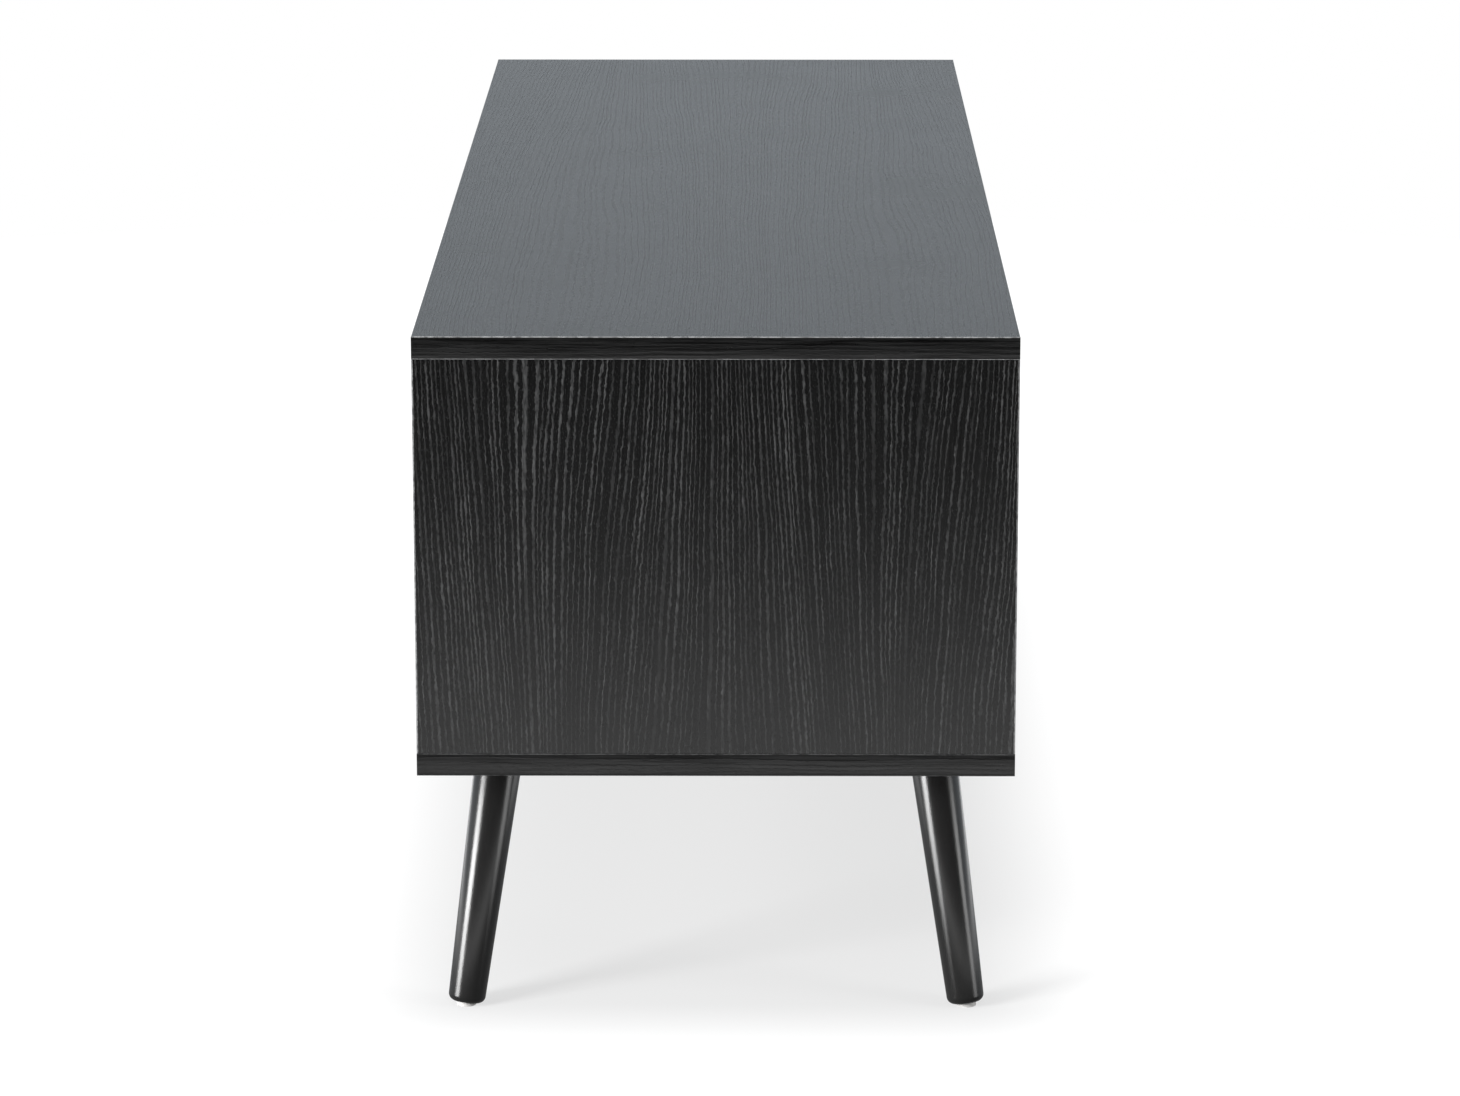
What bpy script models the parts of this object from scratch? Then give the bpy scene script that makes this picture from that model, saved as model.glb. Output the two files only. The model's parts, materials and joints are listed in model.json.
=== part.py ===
"""A low dresser with four drawers on splayed round legs, modelled in metres.

+X runs along the dresser, +Y points to its back, +Z is up. The origin is on the floor, under the middle.
The drawers slide out towards -Y. Left and right are as seen from the front.
"""

import math

import bmesh
import bpy
from mathutils import Matrix, Vector

# ---------------------------------------------------------------- carcass
UNIT_LENGTH = 1.200
UNIT_DEPTH = 0.390
SIDE_HEIGHT = 0.2615
BOARD = 0.015
DIVIDER = 0.015
EDGE_ROUND = 0.0008
SEAM = 0.0003  # the hairline between two boards that touch

BACK_THICKNESS = 0.003
BACK_INSET = 0.008  # from the rear edge of the boards to the back sheet
BACK_GROOVE_DEPTH = 0.005
GROOVE_CLEARANCE = 0.0003  # on each face of a sheet that stands in a groove

# ---------------------------------------------------------------- legs
LEG_INSET = 0.0515  # where a leg's axis meets the underside, from both edges
LEG_TILT = math.radians(11)
LEG_LENGTH = 0.1602
LEG_TOP_RADIUS = 0.0155
LEG_FOOT_RADIUS = 0.0121
LEG_FOOT_ROUND = 0.0045
LEG_TOP_CHAMFER = 0.0005

PLATE_SIDE = 0.062
PLATE_THICKNESS = 0.002
PLATE_CORNER = 0.008
PLATE_SCREW_INSET = 0.008  # from the plate's edges to a screw hole's centre
PLATE_SCREW_HOLE = 0.0023
BOSS_RIM = 0.0015  # how far the boss stands out round the leg
BOSS_DROP = 0.0065  # along the leg's axis, from the underside to the leg's seat

BOLT_RADIUS = 0.004
BOLT_IN_LEG = 0.025
BOLT_BELOW_BOARD = 0.0012
BOLT_CLEARANCE = 0.0003

PAD_INSET = 0.0056  # from the foot's outside to the felt
PAD_HEIGHT = 0.00165  # at the leg's axis

# ---------------------------------------------------------------- drawers
FRONT_THICKNESS = 0.015
FRONT_SET_BACK = 0.001
REVEAL = 0.0025  # the gap round a drawer front
CENTRE_GAP = 0.003  # between the left and the right fronts
DIVIDER_SET_BACK = 0.001  # behind the drawer fronts

NOTCH_WIDTH = 0.110
NOTCH_DEPTH = 0.022
NOTCH_INNER_ROUND = 0.012
NOTCH_OUTER_ROUND = 0.005

BOX_SIDE = 0.012
BOX_BACK = 0.012
BOX_RISE = 0.016  # from the front's lower edge to the box
BOX_HEADROOM = 0.0193  # from the box's rim to the front's upper edge
BOX_REAR_SPACE = 0.028  # from the box to the back sheet
BOX_EDGE_ROUND = 0.0006
DRAWER_BOTTOM = 0.003
BOTTOM_RISE = 0.010  # from the box's lower edge to the bottom sheet
BOTTOM_GROOVE_DEPTH = 0.005

# ---------------------------------------------------------------- runners
RUNNER_SPACE = 0.0125  # between a drawer box and the board beside it
RUNNER_START = 0.002  # behind the drawer front
RUNNER_SHORT = 0.033  # from the runner's rear end to the box's
RUNNER_STEEL = 0.0012
RUNNER_PLAY = 0.0013  # between the two halves' steel
ROLLER_ROOM = 0.0146  # under the drawer's rail, where the rollers run
RAIL_RISE = 0.0145  # from the box's lower edge to the rail
RAIL_HEADROOM = 0.003
CHANNEL_LIP = 0.0025
RAIL_TO_CHANNEL = 0.0015  # from the rail's edge to the channel's web
SHELF_WIDTH = 0.0120  # the flange that carries the box's side

# ---------------------------------------------------------------- places worked out from the sizes
TILT_DIRECTION = Vector((1, 1, 0)).normalized()
LEG_AXIS = TILT_DIRECTION * math.sin(LEG_TILT) - Vector((0, 0, math.cos(LEG_TILT)))
UNDERSIDE = (BOSS_DROP + LEG_LENGTH + 2 * SEAM) * math.cos(LEG_TILT) + PAD_HEIGHT
FLOOR_BOARD_TOP = UNDERSIDE + BOARD
TOP_BOARD_BOTTOM = FLOOR_BOARD_TOP + SIDE_HEIGHT + 2 * SEAM
HALF_LENGTH = UNIT_LENGTH / 2
HALF_DEPTH = UNIT_DEPTH / 2
INNER_HALF_LENGTH = HALF_LENGTH - BOARD
BACK_FACE = HALF_DEPTH - BACK_INSET
BACK_FRONT_FACE = BACK_FACE - BACK_THICKNESS
FRONT_FACE = -HALF_DEPTH + FRONT_SET_BACK
FRONT_HEIGHT = (TOP_BOARD_BOTTOM - FLOOR_BOARD_TOP - 3 * REVEAL) / 2
BOX_START = FRONT_FACE + FRONT_THICKNESS
BOX_LENGTH = BACK_FRONT_FACE - BOX_REAR_SPACE - BOX_START
BOX_HEIGHT = FRONT_HEIGHT - BOX_RISE - BOX_HEADROOM
BAY_WIDTH = INNER_HALF_LENGTH - DIVIDER / 2
BAY_CENTRE = (INNER_HALF_LENGTH + DIVIDER / 2) / 2
BOX_HALF_WIDTH = BAY_WIDTH / 2 - RUNNER_SPACE
BOX_INNER_HALF = BOX_HALF_WIDTH - BOX_SIDE
RUNNER_LENGTH = BOX_LENGTH - RUNNER_START - RUNNER_SHORT
CHANNEL_WIDTH = RUNNER_SPACE - 2 * SEAM - RUNNER_STEEL - RUNNER_PLAY
BOSS_RADIUS = LEG_TOP_RADIUS + BOSS_RIM
PAD_RADIUS = LEG_FOOT_RADIUS - PAD_INSET
ROUND_STEPS = 32
CUTTER_OVERRUN = 0.005


# ---------------------------------------------------------------- scene, collections and materials
def clear_scene():
    for obj in list(bpy.data.objects):
        bpy.data.objects.remove(obj, do_unlink=True)


def new_collection(name):
    collection = bpy.data.collections.new(name)
    bpy.context.scene.collection.children.link(collection)
    return collection


def material(name, colour, roughness, metallic=0.0):
    made = bpy.data.materials.new(name)
    made.use_nodes = True
    shader = made.node_tree.nodes["Principled BSDF"]
    shader.inputs["Base Color"].default_value = (*colour, 1.0)
    shader.inputs["Roughness"].default_value = roughness
    shader.inputs["Metallic"].default_value = metallic
    made.diffuse_color = (*colour, 1.0)
    return made


clear_scene()
DRESSER = new_collection("dresser")
CUTTERS = new_collection("cutters")
CUTTERS.hide_render = True

BLACK_BOARD = material("black_woodgrain_board", (0.020, 0.020, 0.021), 0.45)
LEG_PAINT = material("black_leg_paint", (0.012, 0.012, 0.012), 0.32)
HARDBOARD = material("black_back_sheet", (0.030, 0.029, 0.028), 0.70)
DRAWER_FOIL = material("grey_drawer_foil", (0.230, 0.225, 0.215), 0.60)
RUNNER_PAINT = material("white_runner_paint", (0.700, 0.700, 0.680), 0.40)
PLATE_PAINT = material("black_plate_paint", (0.020, 0.020, 0.020), 0.45)
ZINC = material("zinc_bolt", (0.620, 0.610, 0.590), 0.35, 1.0)
FELT = material("pale_felt", (0.62, 0.61, 0.58), 0.95)


def keep(obj, name, finish=None, parent=None, collection=DRESSER):
    """Names a new object, gives it its material, and moves it to its collection and its parent."""
    obj.name = name
    obj.data.name = name
    for old in list(obj.users_collection):
        old.objects.unlink(obj)
    collection.objects.link(obj)
    if finish is not None:
        obj.data.materials.clear()
        obj.data.materials.append(finish)
    obj.parent = parent
    return obj


# ---------------------------------------------------------------- shapes
def block(low, high):
    """A plain box between two corners."""
    low, high = Vector(low), Vector(high)
    bpy.ops.mesh.primitive_cube_add(size=1, location=(low + high) / 2)
    obj = bpy.context.object
    obj.scale = high - low
    bpy.ops.object.transform_apply(location=False, rotation=False, scale=True)
    return obj


def board(name, low, high, finish, edge=EDGE_ROUND, parent=None):
    """A board whose edges are eased a little."""
    obj = keep(block(low, high), name, finish, parent)
    ease(obj, edge)
    return obj


def ease(obj, width):
    bevel = obj.modifiers.new("eased_edges", "BEVEL")
    bevel.width = width
    bevel.segments = 2
    bevel.limit_method = "ANGLE"
    bevel.angle_limit = math.radians(50)


def cutter(obj, name, parent=None):
    keep(obj, name, parent=parent, collection=CUTTERS)
    obj.hide_render = True
    obj.display_type = "WIRE"
    return obj


def cut(obj, tool, label="cut"):
    boolean = obj.modifiers.new(label, "BOOLEAN")
    boolean.operation = "DIFFERENCE"
    boolean.object = tool


def groove(obj, low, high, parent=None):
    """Cuts a box-shaped groove, given by the corners of the box that it removes."""
    cut(obj, cutter(block(low, high), obj.name + "_groove", parent), "groove")


def outline_curve(points, thickness):
    """A flat plate from its outline in the XY plane, centred on Z = 0."""
    curve = bpy.data.curves.new("outline", "CURVE")
    curve.dimensions = "2D"
    curve.fill_mode = "BOTH"
    curve.extrude = thickness / 2
    spline = curve.splines.new("POLY")
    spline.points.add(len(points) - 1)
    for point, (x, y) in zip(spline.points, points):
        point.co = (x, y, 0, 1)
    spline.use_cyclic_u = True
    return bpy.data.objects.new("outline", curve)


def as_mesh(obj):
    """The evaluated mesh of an object, with its loose caps welded, as a new object in the same place."""
    bpy.context.scene.collection.objects.link(obj)
    bpy.context.view_layer.update()
    graph = bpy.context.evaluated_depsgraph_get()
    mesh = bpy.data.meshes.new_from_object(obj.evaluated_get(graph))
    edit = bmesh.new()
    edit.from_mesh(mesh)
    bmesh.ops.remove_doubles(edit, verts=edit.verts, dist=0.00001)
    edit.to_mesh(mesh)
    edit.free()
    made = bpy.data.objects.new(obj.name, mesh)
    made.matrix_world = obj.matrix_world
    bpy.context.scene.collection.objects.link(made)
    bpy.data.objects.remove(obj, do_unlink=True)
    return made


def arc(centre, radius, start, end, steps=6):
    """Points on an arc, from one angle to another in degrees."""
    angles = [math.radians(start + (end - start) * i / steps) for i in range(steps + 1)]
    return [(centre[0] + radius * math.cos(a), centre[1] + radius * math.sin(a)) for a in angles]


def cylinder(radius, low, high, steps=ROUND_STEPS):
    """An upright cylinder on the Z axis between two heights."""
    bpy.ops.mesh.primitive_cylinder_add(
        vertices=steps, radius=radius, depth=high - low, location=(0, 0, (low + high) / 2)
    )
    obj = bpy.context.object
    bpy.ops.object.transform_apply(location=True, rotation=False, scale=False)
    return obj


def soften(obj):
    """Smooth shading on the round faces, with the corners kept sharp."""
    obj.data.shade_smooth()
    obj.data.set_sharp_from_angle(angle=math.radians(35))


def turned(name, profile, finish, steps=ROUND_STEPS):
    """A solid turned on the Z axis from a profile of (radius, height) points."""
    mesh = bpy.data.meshes.new(name)
    points = [(radius, 0, height) for radius, height in profile]
    mesh.from_pydata(points, [(i, i + 1) for i in range(len(points) - 1)], [])
    obj = bpy.data.objects.new(name, mesh)
    screw = obj.modifiers.new("turned", "SCREW")
    screw.steps = steps
    screw.render_steps = steps
    screw.use_merge_vertices = True
    screw.merge_threshold = 0.00002
    made = as_mesh(obj)
    keep(made, name, finish)
    soften(made)
    return made


def tilt_to_leg(obj, seat):
    """Turns a piece built on the Z axis so that -Z runs down the leg, from a point on the leg's axis."""
    turn = Vector((0, 0, -1)).rotation_difference(LEG_AXIS).to_matrix().to_4x4()
    obj.data.transform(Matrix.Translation(seat) @ turn)


def place_on(face_point, x, y):
    """The height of the plane through face_point, square to the leg's axis, above (x, y)."""
    return face_point.z - (LEG_AXIS.x * (x - face_point.x) + LEG_AXIS.y * (y - face_point.y)) / LEG_AXIS.z


# ---------------------------------------------------------------- carcass boards
def top_and_bottom():
    top = board(
        "top_panel",
        (-HALF_LENGTH, -HALF_DEPTH, TOP_BOARD_BOTTOM),
        (HALF_LENGTH, HALF_DEPTH, TOP_BOARD_BOTTOM + BOARD),
        BLACK_BOARD,
    )
    bottom = board(
        "bottom_panel",
        (-HALF_LENGTH, -HALF_DEPTH, UNDERSIDE),
        (HALF_LENGTH, HALF_DEPTH, FLOOR_BOARD_TOP),
        BLACK_BOARD,
    )
    reach = INNER_HALF_LENGTH + BACK_GROOVE_DEPTH
    front, rear = BACK_FRONT_FACE - GROOVE_CLEARANCE, BACK_FACE + GROOVE_CLEARANCE
    groove(
        top,
        (-reach, front, TOP_BOARD_BOTTOM - CUTTER_OVERRUN),
        (reach, rear, TOP_BOARD_BOTTOM + BACK_GROOVE_DEPTH),
    )
    groove(
        bottom,
        (-reach, front, FLOOR_BOARD_TOP - BACK_GROOVE_DEPTH),
        (reach, rear, FLOOR_BOARD_TOP + CUTTER_OVERRUN),
    )


def sides():
    for word, sign in (("left", -1), ("right", 1)):
        inner, outer = sorted((sign * INNER_HALF_LENGTH, sign * HALF_LENGTH))
        side = board(
            f"side_panel_{word}",
            (inner, -HALF_DEPTH, FLOOR_BOARD_TOP + SEAM),
            (outer, HALF_DEPTH, TOP_BOARD_BOTTOM - SEAM),
            BLACK_BOARD,
        )
        edges = sorted(
            (
                sign * (INNER_HALF_LENGTH - CUTTER_OVERRUN),
                sign * (INNER_HALF_LENGTH + BACK_GROOVE_DEPTH),
            )
        )
        groove(
            side,
            (edges[0], BACK_FRONT_FACE - GROOVE_CLEARANCE, FLOOR_BOARD_TOP - CUTTER_OVERRUN),
            (edges[1], BACK_FACE + GROOVE_CLEARANCE, TOP_BOARD_BOTTOM + CUTTER_OVERRUN),
        )


def divider():
    board(
        "centre_divider",
        (-DIVIDER / 2, BOX_START + DIVIDER_SET_BACK, FLOOR_BOARD_TOP + SEAM),
        (DIVIDER / 2, BACK_FRONT_FACE - SEAM, TOP_BOARD_BOTTOM - SEAM),
        BLACK_BOARD,
    )


def back_sheets():
    """Two sheets stand in the grooves and meet behind the divider."""
    depth = BACK_GROOVE_DEPTH - GROOVE_CLEARANCE
    for word, sign in (("left", -1), ("right", 1)):
        ends = sorted((sign * SEAM, sign * (INNER_HALF_LENGTH + depth)))
        keep(
            block(
                (ends[0], BACK_FRONT_FACE, FLOOR_BOARD_TOP - depth),
                (ends[1], BACK_FACE, TOP_BOARD_BOTTOM + depth),
            ),
            f"back_panel_{word}",
            HARDBOARD,
        )


# ---------------------------------------------------------------- legs
# A leg is built at the corner where +X and +Y meet. Its local origin is the point where the leg's axis
# meets the underside of the bottom board, and the other corners are turned copies.
SEAT = LEG_AXIS * BOSS_DROP
LEG_TOP = LEG_AXIS * (BOSS_DROP + SEAM)
LEG_END = LEG_AXIS * (BOSS_DROP + SEAM + LEG_LENGTH)
PAD_TOP = LEG_AXIS * (BOSS_DROP + 2 * SEAM + LEG_LENGTH)


def leg_profile():
    """Up the bolt's bore, out over the top, down the taper, round the foot and in to the axis."""
    bore = BOLT_RADIUS + BOLT_CLEARANCE
    bore_depth = BOLT_IN_LEG + BOLT_CLEARANCE
    flat = LEG_FOOT_RADIUS - LEG_FOOT_ROUND
    foot = arc((flat, -LEG_LENGTH + LEG_FOOT_ROUND), LEG_FOOT_ROUND, 0, -90)
    return [
        (0, -bore_depth),
        (bore, -bore_depth),
        (bore, 0),
        (LEG_TOP_RADIUS - LEG_TOP_CHAMFER, 0),
        (LEG_TOP_RADIUS, -LEG_TOP_CHAMFER),
        *foot,
        (0, -LEG_LENGTH),
    ]


def leg_mesh():
    leg = turned("leg", leg_profile(), LEG_PAINT)
    tilt_to_leg(leg, LEG_TOP)
    return leg


def bolt_mesh():
    """A headless bolt between the plate's boss and the leg."""
    length = BOSS_DROP - BOLT_BELOW_BOARD + BOLT_IN_LEG
    bolt = keep(cylinder(BOLT_RADIUS, -length, 0, steps=16), "leg_bolt", ZINC)
    soften(bolt)
    tilt_to_leg(bolt, LEG_AXIS * BOLT_BELOW_BOARD)
    return bolt


def wedge_disc(radius, centre, flat_height, seat_point):
    """An upright disc with one level face and one face square to the leg's axis."""
    low, high = sorted((flat_height, seat_point.z))
    disc = cylinder(radius, low, high)
    slanted = high if flat_height == low else low
    for vertex in disc.data.vertices:
        is_slanted = abs(vertex.co.z - slanted) < (high - low) / 4
        vertex.co.x += centre.x
        vertex.co.y += centre.y
        if is_slanted:
            vertex.co.z = place_on(seat_point, vertex.co.x, vertex.co.y)
    return disc


def plate_outline():
    half = PLATE_SIDE / 2 - PLATE_CORNER
    corners = ((half, -half, -90), (half, half, 0), (-half, half, 90), (-half, -half, 180))
    return [p for x, y, start in corners for p in arc((x, y), PLATE_CORNER, start, start + 90, steps=4)]


def plate_mesh():
    """A square steel plate with a slanted boss, bored for the leg's bolt and its four screws."""
    plate = keep(as_mesh(outline_curve(plate_outline(), PLATE_THICKNESS)), "leg_plate", PLATE_PAINT)
    plate.data.transform(Matrix.Translation((SEAT.x, SEAT.y, -SEAM - PLATE_THICKNESS / 2)))
    boss = cutter(wedge_disc(BOSS_RADIUS, SEAT, -SEAM - PLATE_THICKNESS / 2, SEAT), "boss")
    join = plate.modifiers.new("boss", "BOOLEAN")
    join.operation = "UNION"
    join.object = boss
    bore = cutter(cylinder(BOLT_RADIUS + BOLT_CLEARANCE, -2 * BOSS_DROP, BOSS_DROP, steps=16), "bolt_bore")
    tilt_to_leg(bore, Vector((0, 0, 0)))
    cut(plate, bore, "bolt_bore")
    reach = PLATE_SIDE / 2 - PLATE_SCREW_INSET
    for number, (x, y) in enumerate(((reach, reach), (-reach, reach), (-reach, -reach), (reach, -reach))):
        drill = cylinder(PLATE_SCREW_HOLE, -2 * PLATE_THICKNESS, PLATE_THICKNESS, steps=12)
        drill.data.transform(Matrix.Translation((SEAT.x + x, SEAT.y + y, 0)))
        cut(plate, cutter(drill, f"screw_hole_{number}"), f"screw_hole_{number}")
    bpy.context.view_layer.update()
    graph = bpy.context.evaluated_depsgraph_get()
    finished = bpy.data.meshes.new_from_object(plate.evaluated_get(graph))
    plate.modifiers.clear()
    plate.data = finished
    soften(plate)
    return plate


def pad_mesh():
    """A felt pad, pressed level by the dresser's weight."""
    pad = keep(wedge_disc(PAD_RADIUS, PAD_TOP, -UNDERSIDE, PAD_TOP), "foot_pad", FELT)
    soften(pad)
    return pad


def legs():
    originals = [leg_mesh(), plate_mesh(), bolt_mesh(), pad_mesh()]
    corners = (
        ("rear_right", 1, 1, 0),
        ("rear_left", -1, 1, 90),
        ("front_left", -1, -1, 180),
        ("front_right", 1, -1, 270),
    )
    for word, x_sign, y_sign, turn in corners:
        corner = bpy.data.objects.new(f"corner_{word}", None)
        DRESSER.objects.link(corner)
        corner.location = (
            x_sign * (HALF_LENGTH - LEG_INSET),
            y_sign * (HALF_DEPTH - LEG_INSET),
            UNDERSIDE,
        )
        corner.rotation_euler.z = math.radians(turn)
        for original in originals:
            copy = bpy.data.objects.new(f"{original.name}_{word}", original.data)
            DRESSER.objects.link(copy)
            copy.parent = corner
    for original in originals:
        bpy.data.objects.remove(original, do_unlink=True)


# ---------------------------------------------------------------- drawers
# A drawer is built round an empty at the middle of its bay, level with the lower edge of its front.
def front_outline(left, right):
    """A drawer front seen from the front, with the finger notch in the middle of its top edge."""
    middle = (left + right) / 2
    floor = FRONT_HEIGHT - NOTCH_DEPTH
    half = NOTCH_WIDTH / 2
    inner_y = floor + NOTCH_INNER_ROUND
    outer_y = FRONT_HEIGHT - NOTCH_OUTER_ROUND
    outer_x = half + NOTCH_OUTER_ROUND
    inner_x = half - NOTCH_INNER_ROUND
    return [
        (left, 0),
        (right, 0),
        (right, FRONT_HEIGHT),
        *arc((middle + outer_x, outer_y), NOTCH_OUTER_ROUND, 90, 180, steps=4),
        *arc((middle + inner_x, inner_y), NOTCH_INNER_ROUND, 0, -90),
        *arc((middle - inner_x, inner_y), NOTCH_INNER_ROUND, -90, -180),
        *arc((middle - outer_x, outer_y), NOTCH_OUTER_ROUND, 0, 90, steps=4),
        (left, FRONT_HEIGHT),
    ]


def drawer_front(name, sign, holder):
    """The front reaches over half of the divider, so it isn't centred on the box behind it."""
    edges = sorted(
        (
            sign * (CENTRE_GAP / 2 - BAY_CENTRE),
            sign * (INNER_HALF_LENGTH - REVEAL - BAY_CENTRE),
        )
    )
    front = keep(as_mesh(outline_curve(front_outline(*edges), FRONT_THICKNESS)), name, BLACK_BOARD, holder)
    upright = Matrix.Rotation(math.radians(90), 4, "X")
    front.data.transform(Matrix.Translation((0, FRONT_FACE + FRONT_THICKNESS / 2, 0)) @ upright)
    ease(front, EDGE_ROUND)
    groove(
        front,
        (
            -BOX_INNER_HALF - BOTTOM_GROOVE_DEPTH,
            BOX_START - BOTTOM_GROOVE_DEPTH,
            sheet_low() - GROOVE_CLEARANCE,
        ),
        (
            BOX_INNER_HALF + BOTTOM_GROOVE_DEPTH,
            BOX_START + CUTTER_OVERRUN,
            sheet_low() + DRAWER_BOTTOM + GROOVE_CLEARANCE,
        ),
        holder,
    )


def sheet_low():
    """The lower face of a drawer's bottom sheet, above the lower edge of its front."""
    return BOX_RISE + BOTTOM_RISE


def drawer_box(word, holder):
    box_end = BOX_START + BOX_LENGTH
    grip = BOTTOM_GROOVE_DEPTH - GROOVE_CLEARANCE
    for hand, sign in (("left", -1), ("right", 1)):
        faces = sorted((sign * BOX_INNER_HALF, sign * BOX_HALF_WIDTH))
        side = board(
            f"{word}_box_side_{hand}",
            (faces[0], BOX_START + SEAM, BOX_RISE),
            (faces[1], box_end, BOX_RISE + BOX_HEIGHT),
            DRAWER_FOIL,
            BOX_EDGE_ROUND,
            holder,
        )
        edges = sorted(
            (sign * (BOX_INNER_HALF - CUTTER_OVERRUN), sign * (BOX_INNER_HALF + BOTTOM_GROOVE_DEPTH))
        )
        groove(
            side,
            (edges[0], BOX_START - CUTTER_OVERRUN, sheet_low() - GROOVE_CLEARANCE),
            (edges[1], box_end + CUTTER_OVERRUN, sheet_low() + DRAWER_BOTTOM + GROOVE_CLEARANCE),
            holder,
        )
    board(
        f"{word}_box_back",
        (-BOX_INNER_HALF + SEAM, box_end - BOX_BACK, sheet_low() + DRAWER_BOTTOM + SEAM),
        (BOX_INNER_HALF - SEAM, box_end, BOX_RISE + BOX_HEIGHT),
        DRAWER_FOIL,
        BOX_EDGE_ROUND,
        holder,
    )
    keep(
        block(
            (-BOX_INNER_HALF - grip, BOX_START - grip, sheet_low()),
            (BOX_INNER_HALF + grip, box_end, sheet_low() + DRAWER_BOTTOM),
        ),
        f"{word}_bottom_sheet",
        DRAWER_FOIL,
        holder,
    )


# A runner's sections are drawn with x out from the board that carries it, towards the drawer box.
def channel_section():
    """The cabinet's half: a channel that lies on its side, with a lip on its lower flange."""
    web, steel = SEAM, RUNNER_STEEL
    low = BOX_RISE + RAIL_RISE - ROLLER_ROOM - steel
    high = BOX_RISE + RAIL_RISE + steel + RAIL_HEADROOM + steel
    reach = web + CHANNEL_WIDTH
    return [
        (web, low),
        (reach, low),
        (reach, low + steel + CHANNEL_LIP),
        (reach - steel, low + steel + CHANNEL_LIP),
        (reach - steel, low + steel),
        (web + steel, low + steel),
        (web + steel, high - steel),
        (reach, high - steel),
        (reach, high),
        (web, high),
    ]


def rail_section():
    """The drawer's half: a shelf under the box's side, a web beside it and a rail in the channel."""
    steel = RUNNER_STEEL
    outer = RUNNER_SPACE - SEAM
    shelf = BOX_RISE - SEAM
    rail = BOX_RISE + RAIL_RISE
    tip = SEAM + steel + RAIL_TO_CHANNEL
    return [
        (outer - steel, shelf - steel),
        (outer + SHELF_WIDTH, shelf - steel),
        (outer + SHELF_WIDTH, shelf),
        (outer, shelf),
        (outer, rail + steel),
        (tip, rail + steel),
        (tip, rail),
        (outer - steel, rail),
    ]


def runner_half(name, section, sign, start, holder):
    """A section drawn out along Y, on the side of the bay that sign says."""
    wall = sign * BAY_WIDTH / 2
    points = [(wall - sign * x, z) for x, z in section]
    half = keep(as_mesh(outline_curve(points, RUNNER_LENGTH)), name, RUNNER_PAINT, holder)
    upright = Matrix.Rotation(math.radians(90), 4, "X")
    half.data.transform(Matrix.Translation((0, start + RUNNER_LENGTH / 2, 0)) @ upright)
    return half


def drawers():
    for row, level in (("lower", 0), ("upper", 1)):
        for column, sign in (("left", -1), ("right", 1)):
            word = f"{row}_{column}"
            holder = bpy.data.objects.new(f"drawer_{word}", None)
            DRESSER.objects.link(holder)
            height = FLOOR_BOARD_TOP + REVEAL + level * (FRONT_HEIGHT + REVEAL)
            holder.location = (sign * BAY_CENTRE, 0, height)
            drawer_front(f"{word}_front", sign, holder)
            drawer_box(word, holder)
            for hand, side in (("left", -1), ("right", 1)):
                start = BOX_START + RUNNER_START
                runner_half(f"{word}_runner_channel_{hand}", channel_section(), side, start, holder)
                runner_half(f"{word}_runner_rail_{hand}", rail_section(), side, start, holder)


top_and_bottom()
sides()
divider()
back_sheets()
legs()
drawers()
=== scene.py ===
# %% [markdown]
# # A low black dresser with four drawers
#
# This lesson gives a plain, exact model of a dresser its real surface. The boards are particle
# board faced with black, embossed wood-grain melamine. The legs are turned wood under satin
# lacquer, and the drawers run on white steel runners.
#
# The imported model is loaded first. Its solids are the frame of the work: new pieces take their
# size and place from them, and every piece rides on one of its bodies.

# %% Load the frame
import json
import math

import bmesh
import bpy
import numpy as np
from mathutils import Matrix, Vector


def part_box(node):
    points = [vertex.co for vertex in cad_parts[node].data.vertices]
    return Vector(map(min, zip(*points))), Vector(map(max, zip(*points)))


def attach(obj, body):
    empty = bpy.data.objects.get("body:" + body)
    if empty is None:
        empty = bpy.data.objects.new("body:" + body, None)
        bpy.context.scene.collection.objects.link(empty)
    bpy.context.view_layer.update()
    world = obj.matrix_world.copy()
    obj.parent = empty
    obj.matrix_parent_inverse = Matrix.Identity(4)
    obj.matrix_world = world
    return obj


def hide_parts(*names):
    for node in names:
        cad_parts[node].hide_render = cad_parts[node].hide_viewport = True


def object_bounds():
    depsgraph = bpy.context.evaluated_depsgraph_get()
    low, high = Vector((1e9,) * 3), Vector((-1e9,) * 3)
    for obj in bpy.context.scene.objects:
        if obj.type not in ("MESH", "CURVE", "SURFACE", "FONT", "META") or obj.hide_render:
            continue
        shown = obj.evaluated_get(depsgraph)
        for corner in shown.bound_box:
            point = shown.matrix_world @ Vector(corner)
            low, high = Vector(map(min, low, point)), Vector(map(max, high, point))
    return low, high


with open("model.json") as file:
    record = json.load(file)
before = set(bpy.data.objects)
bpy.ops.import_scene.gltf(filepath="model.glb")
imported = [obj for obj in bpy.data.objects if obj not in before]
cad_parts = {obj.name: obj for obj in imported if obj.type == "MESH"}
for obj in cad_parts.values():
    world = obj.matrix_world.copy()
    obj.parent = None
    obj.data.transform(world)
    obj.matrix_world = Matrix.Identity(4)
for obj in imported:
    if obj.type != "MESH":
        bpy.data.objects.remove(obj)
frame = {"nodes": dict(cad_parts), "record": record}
CAD_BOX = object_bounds()
NODES = frame["nodes"]
CORNERS = ("rear_right", "rear_left", "front_left", "front_right")
DRAWERS = ("lower_left", "lower_right", "upper_left", "upper_right")
HANDS = ("left", "right")

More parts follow.
